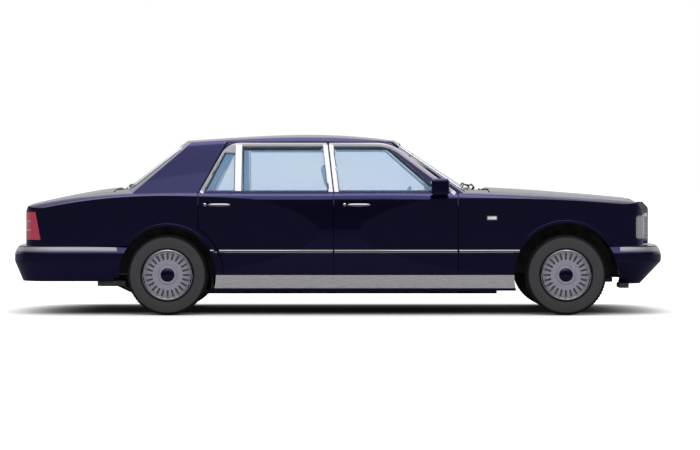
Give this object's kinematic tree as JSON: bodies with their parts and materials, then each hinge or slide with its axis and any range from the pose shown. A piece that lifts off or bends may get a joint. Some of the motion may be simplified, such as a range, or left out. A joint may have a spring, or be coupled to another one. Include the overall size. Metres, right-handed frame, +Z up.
{
  "type": "luxury sedan",
  "caption": "Long four-door luxury sedan with hollow panelled body, opening doors, bonnet and boot, steered front wheels and turning road wheels.",
  "frame": {"origin": "on the ground under the middle of the car's length and width", "axes": "+X forward, +Y to the car's left, +Z up"},
  "size_m": [5.6068, 2.16, 1.5404],
  "materials": {
    "paint": "glossy dark blue",
    "chrome": "polished",
    "bright_trim": "satin",
    "glass": "clear",
    "lamp": "clear cover",
    "red_lamp": "red cover",
    "cast": "satin black",
    "exhaust_steel": "dull",
    "black_plastic": "matt",
    "underbody": "satin black",
    "seat_leather": "soft grain",
    "dash_plastic": "grained",
    "black_leather": "smooth",
    "tyre": "rubber",
    "wheel_alloy": "silver lacquer"
  },
  "bodies": {
    "body": {"body_side_left": "paint", "body_side_right": "paint", "front_wing_left": "paint", "front_wing_right": "paint", "roof_panel": "paint", "nose_panel": "paint", "tail_panel": "paint", "front_bumper": "paint", "rear_bumper": "paint", "windscreen": "glass", "rear_window": "glass", "grille": "chrome", "sill_covers": "bright_trim", "headlamps": "lamp", "tail_lamps": "red_lamp", "front_suspension": "cast", "rear_suspension": "cast", "drive_line": "cast", "engine": "cast", "exhaust": "exhaust_steel", "arch_liners": "black_plastic", "floor_pan": "underbody", "bulkhead": "underbody", "rear_bulkhead": "underbody", "front_seats": "seat_leather", "rear_seat": "seat_leather", "dashboard": "dash_plastic", "steering_column": "black_plastic"},
    "front_left_door": {"door_front_left": "paint", "glass_front_left": "glass", "mirror_left": "paint"},
    "front_right_door": {"door_front_right": "paint", "glass_front_right": "glass", "mirror_right": "paint"},
    "rear_left_door": {"door_rear_left": "paint", "glass_rear_left": "glass"},
    "rear_right_door": {"door_rear_right": "paint", "glass_rear_right": "glass"},
    "bonnet_body": {"bonnet": "paint"},
    "boot_body": {"boot_lid": "paint"},
    "steering_wheel_body": {"steering_wheel": "black_leather"},
    "left_knuckle": {"knuckle_left": "cast"},
    "right_knuckle": {"knuckle_right": "cast"},
    "front_left_wheel": {"tyre_front_left": "tyre", "wheel_front_left": "wheel_alloy"},
    "front_right_wheel": {"tyre_front_right": "tyre", "wheel_front_right": "wheel_alloy"},
    "rear_left_wheel": {"tyre_rear_left": "tyre", "wheel_rear_left": "wheel_alloy"},
    "rear_right_wheel": {"tyre_rear_right": "tyre", "wheel_rear_right": "wheel_alloy"}
  },
  "joints": [
    {"name": "front_left_door_hinge", "type": "hinge", "parent": "body", "child": "front_left_door", "pos_m": [1.057, 0.954, 0.7], "axis": [0, 0, -1], "range_deg": [0, 65]},
    {"name": "rear_left_door_hinge", "type": "hinge", "parent": "body", "child": "rear_left_door", "pos_m": [0.006, 0.954, 0.7], "axis": [0, 0, -1], "range_deg": [0, 65]},
    {"name": "front_right_door_hinge", "type": "hinge", "parent": "body", "child": "front_right_door", "pos_m": [1.057, -0.954, 0.7], "axis": [0, 0, 1], "range_deg": [0, 65]},
    {"name": "rear_right_door_hinge", "type": "hinge", "parent": "body", "child": "rear_right_door", "pos_m": [0.006, -0.954, 0.7], "axis": [0, 0, 1], "range_deg": [0, 65]},
    {"name": "bonnet_hinge", "type": "hinge", "parent": "body", "child": "bonnet_body", "pos_m": [1.252, 0, 1.064], "axis": [0, -1, 0], "range_deg": [0, 55]},
    {"name": "boot_hinge", "type": "hinge", "parent": "body", "child": "boot_body", "pos_m": [-1.872, 0, 1.064], "axis": [0, 1, 0], "range_deg": [0, 70]},
    {"name": "left_kingpin", "type": "hinge", "parent": "body", "child": "left_knuckle", "pos_m": [1.927, 0.754, 0.34], "axis": [0, 0, 1], "range_deg": [-33, 33]},
    {"name": "right_kingpin", "type": "hinge", "parent": "body", "child": "right_knuckle", "pos_m": [1.927, -0.754, 0.34], "axis": [0, 0, 1], "range_deg": [-33, 33]},
    {"name": "steering_wheel_turn", "type": "hinge", "parent": "body", "child": "steering_wheel_body", "pos_m": [0.56, 0.4, 0.905], "axis": [-0.9063, 0, 0.4226], "range_deg": [-462, 462]},
    {"name": "front_left_roll", "type": "hinge", "parent": "left_knuckle", "child": "front_left_wheel", "pos_m": [1.927, 0.804, 0.34], "axis": [0, 1, 0], "continuous": true},
    {"name": "front_right_roll", "type": "hinge", "parent": "right_knuckle", "child": "front_right_wheel", "pos_m": [1.927, -0.804, 0.34], "axis": [0, 1, 0], "continuous": true},
    {"name": "rear_left_roll", "type": "hinge", "parent": "body", "child": "rear_left_wheel", "pos_m": [-1.438, 0.804, 0.34], "axis": [0, 1, 0], "continuous": true},
    {"name": "rear_right_roll", "type": "hinge", "parent": "body", "child": "rear_right_wheel", "pos_m": [-1.438, -0.804, 0.34], "axis": [0, 1, 0], "continuous": true}
  ],
  "couplings": [
    {"joint": "right_kingpin", "follows": "left_kingpin", "ratio": 1},
    {"joint": "steering_wheel_turn", "follows": "left_kingpin", "ratio": 14}
  ]
}
